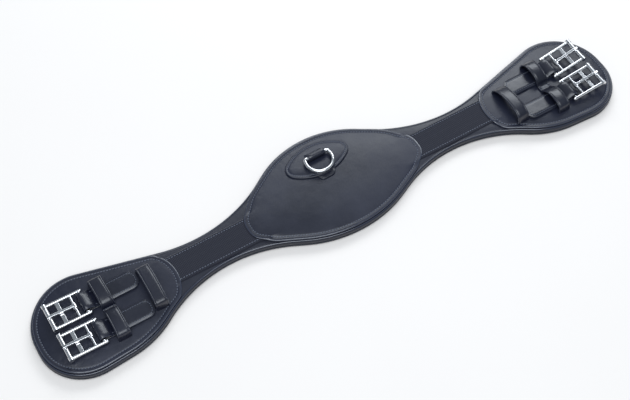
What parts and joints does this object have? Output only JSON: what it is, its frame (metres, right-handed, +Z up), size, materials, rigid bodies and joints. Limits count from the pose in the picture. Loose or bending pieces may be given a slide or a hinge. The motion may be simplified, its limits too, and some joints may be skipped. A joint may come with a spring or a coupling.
{
  "type": "saddle girth",
  "caption": "Padded black leather saddle girth with a wide centre panel and breastplate dee ring, roller buckles on leather chapes and strap keepers at both ends.",
  "frame": {"origin": "centre of the underside's bounding box, on the lining's lowest face", "axes": "+X along the girth towards the right end, +Y towards the front edge that carries the dee ring, +Z up, away from the horse"},
  "size_m": [0.711, 0.1386, 0.0303],
  "materials": {
    "cover_leather": "smooth matt finish, fine grain, black",
    "panel_leather": "padded smooth black leather, soft sheen",
    "strap_leather": "glossier creased black bridle leather",
    "lining_leather": "soft black underside",
    "web": "ribbed woven black webbing",
    "foam": "closed-cell foam",
    "steel": "bright polished stainless steel"
  },
  "bodies": {
    "girth": {"lining": "lining_leather", "base_cover": "cover_leather", "foam_core": "foam", "webbing_strap": "web", "centre_padding": "foam", "centre_panel": "panel_leather", "end_padding_left": "foam", "end_padding_right": "foam", "end_panel_left": "panel_leather", "end_panel_right": "panel_leather", "dee_patch": "panel_leather", "dee_tab": "panel_leather", "dee_chape": "strap_leather", "double_keeper_left": "strap_leather", "inner_keeper_left": "strap_leather", "chape_left_front": "strap_leather", "chape_left_rear": "strap_leather", "double_keeper_right": "strap_leather", "inner_keeper_right": "strap_leather", "chape_right_front": "strap_leather", "chape_right_rear": "strap_leather"},
    "buckle_left_front": {"buckle_frame_left_front": "steel"},
    "tongue_left_front": {"buckle_tongue_left_front": "steel"},
    "roller_left_front": {"buckle_roller_left_front": "steel"},
    "buckle_left_rear": {"buckle_frame_left_rear": "steel"},
    "tongue_left_rear": {"buckle_tongue_left_rear": "steel"},
    "roller_left_rear": {"buckle_roller_left_rear": "steel"},
    "buckle_right_front": {"buckle_frame_right_front": "steel"},
    "tongue_right_front": {"buckle_tongue_right_front": "steel"},
    "roller_right_front": {"buckle_roller_right_front": "steel"},
    "buckle_right_rear": {"buckle_frame_right_rear": "steel"},
    "tongue_right_rear": {"buckle_tongue_right_rear": "steel"},
    "roller_right_rear": {"buckle_roller_right_rear": "steel"},
    "dee_ring": {"dee_ring": "steel"}
  },
  "joints": [
    {"name": "buckle_fold_left_front", "type": "hinge", "parent": "girth", "child": "buckle_left_front", "pos_m": [-0.2935, 0.00525, 0.01836], "axis": [0, 1, 0], "range_deg": [-3.5, 88]},
    {"name": "tongue_swing_left_front", "type": "hinge", "parent": "buckle_left_front", "child": "tongue_left_front", "pos_m": [-0.30299, 0.00525, 0.01869], "axis": [0, 1, 0], "range_deg": [0, 68]},
    {"name": "roller_spin_left_front", "type": "hinge", "parent": "buckle_left_front", "child": "roller_left_front", "pos_m": [-0.33023, 0.00525, 0.01964], "axis": [0, 1, 0], "continuous": true},
    {"name": "buckle_fold_left_rear", "type": "hinge", "parent": "girth", "child": "buckle_left_rear", "pos_m": [-0.2935, -0.03225, 0.01836], "axis": [0, 1, 0], "range_deg": [-3.5, 88]},
    {"name": "tongue_swing_left_rear", "type": "hinge", "parent": "buckle_left_rear", "child": "tongue_left_rear", "pos_m": [-0.30299, -0.03225, 0.01869], "axis": [0, 1, 0], "range_deg": [0, 68]},
    {"name": "roller_spin_left_rear", "type": "hinge", "parent": "buckle_left_rear", "child": "roller_left_rear", "pos_m": [-0.33023, -0.03225, 0.01964], "axis": [0, 1, 0], "continuous": true},
    {"name": "buckle_fold_right_front", "type": "hinge", "parent": "girth", "child": "buckle_right_front", "pos_m": [0.2935, 0.00525, 0.01836], "axis": [0, -1, 0], "range_deg": [-13.5, 78]},
    {"name": "tongue_swing_right_front", "type": "hinge", "parent": "buckle_right_front", "child": "tongue_right_front", "pos_m": [0.30279, 0.00525, 0.02033], "axis": [0, -1, 0], "range_deg": [0, 68]},
    {"name": "roller_spin_right_front", "type": "hinge", "parent": "buckle_right_front", "child": "roller_right_front", "pos_m": [0.32945, 0.00525, 0.026], "axis": [0, -1, 0], "continuous": true},
    {"name": "buckle_fold_right_rear", "type": "hinge", "parent": "girth", "child": "buckle_right_rear", "pos_m": [0.2935, -0.03225, 0.01836], "axis": [0, -1, 0], "range_deg": [-8.5, 83]},
    {"name": "tongue_swing_right_rear", "type": "hinge", "parent": "buckle_right_rear", "child": "tongue_right_rear", "pos_m": [0.30293, -0.03225, 0.01952], "axis": [0, -1, 0], "range_deg": [0, 68]},
    {"name": "roller_spin_right_rear", "type": "hinge", "parent": "buckle_right_rear", "child": "roller_right_rear", "pos_m": [0.32998, -0.03225, 0.02284], "axis": [0, -1, 0], "continuous": true},
    {"name": "dee_ring_fold", "type": "hinge", "parent": "girth", "child": "dee_ring", "pos_m": [0, 0.0375, 0.02026], "axis": [-1, 0, 0], "range_deg": [-3, 183]}
  ]
}
